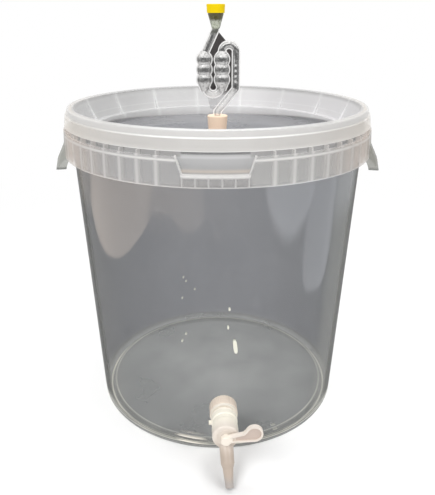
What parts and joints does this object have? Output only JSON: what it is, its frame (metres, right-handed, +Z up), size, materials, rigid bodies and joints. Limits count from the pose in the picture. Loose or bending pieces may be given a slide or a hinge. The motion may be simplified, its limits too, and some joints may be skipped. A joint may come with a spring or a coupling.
{
  "type": "fermentation bucket with tap",
  "caption": "Clear tapered fermentation bucket with a press-on lid, a bubbler airlock in a rubber bung and a lever tap near the base for drawing off the liquid.",
  "frame": {"origin": "middle of the foot ring, on the surface the bucket stands on", "axes": "+Z up along the bucket's axis; the tap points along -Y; its lever lies along +X when shut"},
  "size_m": [0.4012, 0.4117, 0.5077],
  "materials": {
    "bucket_plastic": "clear moulded, slightly smoky",
    "lid_plastic": "milky clear, moulded",
    "bung_rubber": "matt moulded rubber",
    "airlock_plastic": "clear moulded",
    "cap_plastic": "satin moulded",
    "tap_plastic": "satin moulded",
    "lever_plastic": "satin moulded",
    "seal_rubber": "matt",
    "washer_rubber": "matt",
    "nut_plastic": "satin moulded"
  },
  "bodies": {
    "bucket": {"bucket": "bucket_plastic", "tap_body": "tap_plastic", "tap_outer_washer": "washer_rubber", "tap_inner_washer": "washer_rubber", "tap_nut": "nut_plastic"},
    "lid": {"lid": "lid_plastic"},
    "bung": {"airlock_bung": "bung_rubber"},
    "airlock": {"airlock_front_half": "airlock_plastic", "airlock_back_half": "airlock_plastic"},
    "cap": {"airlock_cap": "cap_plastic"},
    "valve": {"tap_valve": "lever_plastic", "tap_valve_front_seal": "seal_rubber", "tap_valve_rear_seal": "seal_rubber"}
  },
  "joints": [
    {"name": "lid_lift", "type": "slide", "parent": "bucket", "child": "lid", "axis": [0, 0, 1], "range_m": [0, 0.1]},
    {"name": "bung_pull", "type": "slide", "parent": "lid", "child": "bung", "axis": [0, 0, 1], "range_m": [0, 0.04]},
    {"name": "airlock_pull", "type": "slide", "parent": "bung", "child": "airlock", "axis": [0, 0, 1], "range_m": [0, 0.05]},
    {"name": "cap_lift", "type": "slide", "parent": "airlock", "child": "cap", "axis": [0, 0, 1], "range_m": [0, 0.03]},
    {"name": "tap_turn", "type": "hinge", "parent": "bucket", "child": "valve", "pos_m": [0, -0.19, 0.05], "axis": [0, -1, 0], "range_deg": [0, 90]}
  ]
}
